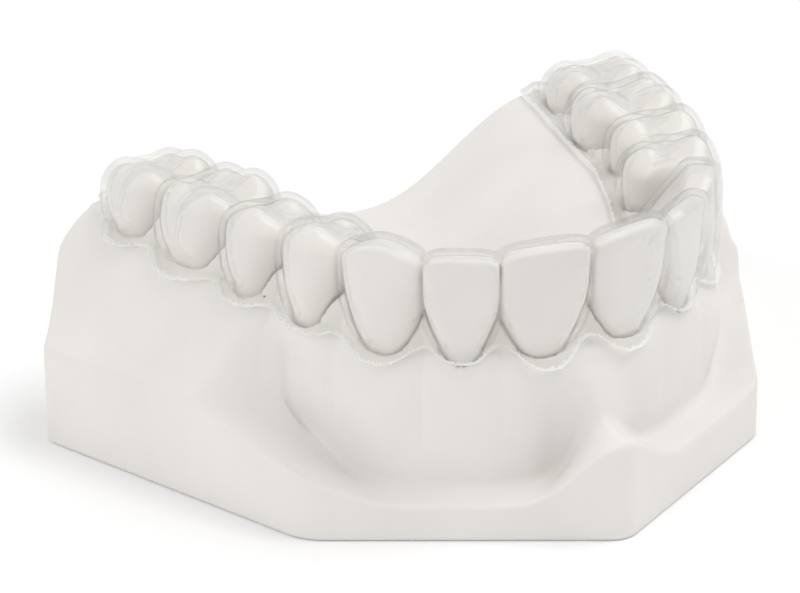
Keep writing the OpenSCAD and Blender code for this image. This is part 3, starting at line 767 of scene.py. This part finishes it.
def stone_material(name, tint, roughness):
    """Cast dental stone: a faint mottle, fine grain and a few small dented air pits whose shade is
    painted dark into the colour.
    """
    material, nodes, links = new_material(name)
    out = nodes.new("ShaderNodeOutputMaterial")
    bsdf = nodes.new("ShaderNodeBsdfPrincipled")
    bsdf.inputs["Specular IOR Level"].default_value = 0.35
    links.new(bsdf.outputs[0], out.inputs[0])
    mottle = add_noise(nodes, links, 90, 5)
    grain = add_noise(nodes, links, 2600, 3)
    ramp = nodes.new("ShaderNodeValToRGB")
    ramp.color_ramp.elements[0].position = 0.35
    ramp.color_ramp.elements[1].position = 0.68
    ramp.color_ramp.elements[0].color = [c * 0.955 for c in tint] + [1]
    ramp.color_ramp.elements[1].color = list(tint) + [1]
    links.new(mottle, ramp.inputs[0])
    # a pit opens only where the cell's own random value is high; its dark colour is painted shade
    place = nodes.new("ShaderNodeTexCoord")
    pits = nodes.new("ShaderNodeTexVoronoi")
    pits.inputs["Scale"].default_value = 170
    pits.inputs["Randomness"].default_value = 1
    links.new(place.outputs["Object"], pits.inputs["Vector"])
    away = nodes.new("ShaderNodeMapRange")
    away.inputs["From Min"].default_value = 0.012
    away.inputs["From Max"].default_value = 0.028
    links.new(pits.outputs["Distance"], away.inputs["Value"])
    chosen = nodes.new("ShaderNodeSeparateColor")
    links.new(pits.outputs["Color"], chosen.inputs[0])
    common = add_math(nodes, links, "LESS_THAN", chosen.outputs[0], 0.9)
    pit_dent_and_shade = add_math(nodes, links, "MAXIMUM", away.outputs["Result"], common)
    # painted shade: the pits get a dark base colour for the shade inside them
    shade = nodes.new("ShaderNodeMix")
    shade.data_type = "RGBA"
    shade.inputs["A"].default_value = (0.16, 0.15, 0.14, 1)
    links.new(pit_dent_and_shade, shade.inputs["Factor"])
    links.new(ramp.outputs[0], shade.inputs["B"])
    links.new(shade.outputs["Result"], bsdf.inputs["Base Color"])
    rough = add_range(nodes, links, grain, roughness - 0.08, roughness + 0.08)
    links.new(rough, bsdf.inputs["Roughness"])
    rub = add_bump(nodes, links, grain, 0.10, 0.00008)
    dent = add_bump(nodes, links, pit_dent_and_shade, 0.7, 0.0002)
    links.new(rub.outputs[0], dent.inputs["Normal"])
    links.new(dent.outputs[0], bsdf.inputs["Normal"])
    return material


def sheet_material():
    """Clear thermoformed sheet: bends part of the light, greys towards its outlines with painted
    shade, and glints.
    """
    material, nodes, links = new_material("clear_sheet")
    out = nodes.new("ShaderNodeOutputMaterial")
    bent = nodes.new("ShaderNodeBsdfPrincipled")
    bent.inputs["Base Color"].default_value = CLEAR_TINT
    bent.inputs["Transmission Weight"].default_value = 1
    bent.inputs["IOR"].default_value = 1.25
    gloss = nodes.new("ShaderNodeBsdfGlossy")
    haze = add_noise(nodes, links, 260, 4)
    rough = add_range(nodes, links, haze, 0.03, 0.12)
    bump = add_bump(nodes, links, haze, 0.15, 0.0002)
    for shader in (bent, gloss):
        links.new(rough, shader.inputs["Roughness"])
        links.new(bump.outputs[0], shader.inputs["Normal"])
    # painted shade: straight light is greyed where the sheet is seen edge on, standing in for the
    # dark outlines that bent light shows
    edge = nodes.new("ShaderNodeLayerWeight")
    edge.inputs["Blend"].default_value = 0.5
    tint = nodes.new("ShaderNodeValToRGB")
    tint.color_ramp.interpolation = "EASE"
    tint.color_ramp.elements[0].position = 0.45
    tint.color_ramp.elements[0].color = CLEAR_TINT
    tint.color_ramp.elements[1].position = 1.0
    tint.color_ramp.elements[1].color = (0.945, 0.945, 0.94, 1)
    links.new(edge.outputs["Facing"], tint.inputs[0])
    straight = nodes.new("ShaderNodeBsdfTransparent")
    links.new(tint.outputs[0], straight.inputs[0])
    # only the outward side of each face glints
    fresnel = nodes.new("ShaderNodeFresnel")
    fresnel.inputs["IOR"].default_value = 1.42
    facing = nodes.new("ShaderNodeNewGeometry")
    outward = add_math(nodes, links, "SUBTRACT", 1, facing.outputs["Backfacing"])
    glint = add_math(nodes, links, "MULTIPLY", fresnel.outputs[0], outward)
    film = add_mix(nodes, links, glint, straight.outputs[0], gloss.outputs[0])
    seen = add_mix(nodes, links, SHEET_THIN, bent.outputs[0], film)
    # shadows and scattered light pass straight through
    clear = nodes.new("ShaderNodeBsdfTransparent")
    clear.inputs[0].default_value = CLEAR_TINT
    path = nodes.new("ShaderNodeLightPath").outputs
    unseen = add_math(nodes, links, "MAXIMUM", path["Is Shadow Ray"], path["Is Diffuse Ray"])
    links.new(add_mix(nodes, links, unseen, seen, clear.outputs[0]), out.inputs[0])
    return material


def edge_highlight_material():
    """Cut edge of the sheet: white and translucent, a painted highlight for the light that the
    sheet carries to its edge.
    """
    material, nodes, links = new_material("painted_edge_highlight")
    out = nodes.new("ShaderNodeOutputMaterial")
    # painted highlight: the cut faces are white and let light through
    white = nodes.new("ShaderNodeBsdfPrincipled")
    white.inputs["Base Color"].default_value = (0.95, 0.95, 0.94, 1)
    glow = nodes.new("ShaderNodeBsdfTranslucent")
    glow.inputs[0].default_value = (0.97, 0.97, 0.96, 1)
    scratch = add_noise(nodes, links, 1800)
    links.new(add_range(nodes, links, scratch, 0.35, 0.6), white.inputs["Roughness"])
    bump = add_bump(nodes, links, scratch, 0.3, 0.00006)
    for shader in (white, glow):
        links.new(bump.outputs[0], shader.inputs["Normal"])
    links.new(add_mix(nodes, links, 0.5, white.outputs[0], glow.outputs[0]), out.inputs[0])
    return material


def steel_material():
    """Turned screw steel with fine marks."""
    material, nodes, links = new_material("screw_steel")
    out = nodes.new("ShaderNodeOutputMaterial")
    bsdf = nodes.new("ShaderNodeBsdfPrincipled")
    bsdf.inputs["Metallic"].default_value = 1
    bsdf.inputs["Base Color"].default_value = (0.62, 0.62, 0.61, 1)
    marks = add_noise(nodes, links, 3000)
    links.new(add_range(nodes, links, marks, 0.22, 0.45), bsdf.inputs["Roughness"])
    links.new(add_bump(nodes, links, marks, 0.2, 0.00005).outputs[0], bsdf.inputs["Normal"])
    links.new(bsdf.outputs[0], out.inputs[0])
    return material


# ---- Assembly ---------------------------------------------------------------------------

def stand_in(piece, node, body, slot, *materials):
    """Gives a piece its materials and puts it in the place of a CAD node on a body."""
    for material in materials:
        piece.data.materials.append(material)
    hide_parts(node)
    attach(piece, body)


stone = stone_material("cast_stone", (0.812, 0.784, 0.757), 0.72)
crown_stone = stone_material("crown_stone", (0.822, 0.794, 0.768), 0.62)

for tooth in TEETH:
    stand_in(build_tooth(tooth), tooth["node"], ROOT_BODY, "crown", crown_stone)
stand_in(build_jaw(), "jaw_base", ROOT_BODY, "stone", stone)
stand_in(build_retainer(), "retainer", RETAINER_BODY, "clear_sheet", sheet_material(),
         edge_highlight_material())

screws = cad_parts["retention_screws"]
screws.data.materials.clear()
screws.data.materials.append(steel_material())

# ---- Stage ------------------------------------------------------------------------------

CAMERA_AZIMUTH = math.radians(-28.664)
CAMERA_ELEVATION = math.radians(25.201)
CAMERA_ROLL = math.radians(-0.541)
CAMERA_AT = Vector((-176.2, -304.65, 180.2)) * MM
CAMERA_LENS = 180.2


def add_camera():
    data = bpy.data.cameras.new("camera")
    data.lens = CAMERA_LENS
    data.sensor_width = 36
    camera = bpy.data.objects.new("camera", data)
    bpy.context.scene.collection.objects.link(camera)
    right = Vector((math.cos(CAMERA_AZIMUTH), math.sin(CAMERA_AZIMUTH), 0))
    back = Vector((math.sin(CAMERA_AZIMUTH) * math.cos(CAMERA_ELEVATION),
                   -math.cos(CAMERA_AZIMUTH) * math.cos(CAMERA_ELEVATION),
                   math.sin(CAMERA_ELEVATION)))
    up = back.cross(right)
    tilted_right = math.cos(CAMERA_ROLL) * right + math.sin(CAMERA_ROLL) * up
    tilted_up = back.cross(tilted_right)
    turn = Matrix((tilted_right, tilted_up, back)).transposed()
    camera.matrix_world = Matrix.Translation(CAMERA_AT) @ turn.to_4x4()
    bpy.context.scene.camera = camera


def add_area_light(name, at, size, power, target=(0, 0, 0.015)):
    data = bpy.data.lights.new(name, "AREA")
    data.size = size
    data.energy = power
    light = bpy.data.objects.new(name, data)
    bpy.context.scene.collection.objects.link(light)
    direction = Vector(at) - Vector(target)
    turn = direction.to_track_quat("Z", "Y").to_matrix().to_4x4()
    light.matrix_world = Matrix.Translation(at) @ turn


def add_floor():
    half = 3.0
    mesh = bpy.data.meshes.new("floor")
    corners = [(-half, -half, 0), (half, -half, 0), (half, half, 0), (-half, half, 0)]
    mesh.from_pydata(corners, [], [(0, 1, 2, 3)])
    floor = bpy.data.objects.new("floor", mesh)
    bpy.context.scene.collection.objects.link(floor)
    material, nodes, links = new_material("floor")
    out = nodes.new("ShaderNodeOutputMaterial")
    bsdf = nodes.new("ShaderNodeBsdfPrincipled")
    bsdf.inputs["Base Color"].default_value = (0.97, 0.97, 0.97, 1)
    bsdf.inputs["Roughness"].default_value = 0.9
    links.new(bsdf.outputs[0], out.inputs[0])
    mesh.materials.append(material)


add_camera()
add_floor()
add_area_light("key", (0.35, -0.15, 0.75), 0.5, 2.6)
add_area_light("fill", (-0.7, 0.0, 0.45), 0.8, 1.6)
world = bpy.data.worlds.new("studio")
bpy.context.scene.world = world
world.use_nodes = True
world.node_tree.nodes["Background"].inputs[0].default_value = (1, 1, 1, 1)
world.node_tree.nodes["Background"].inputs[1].default_value = 0.70
bpy.context.scene.view_settings.view_transform = "Standard"
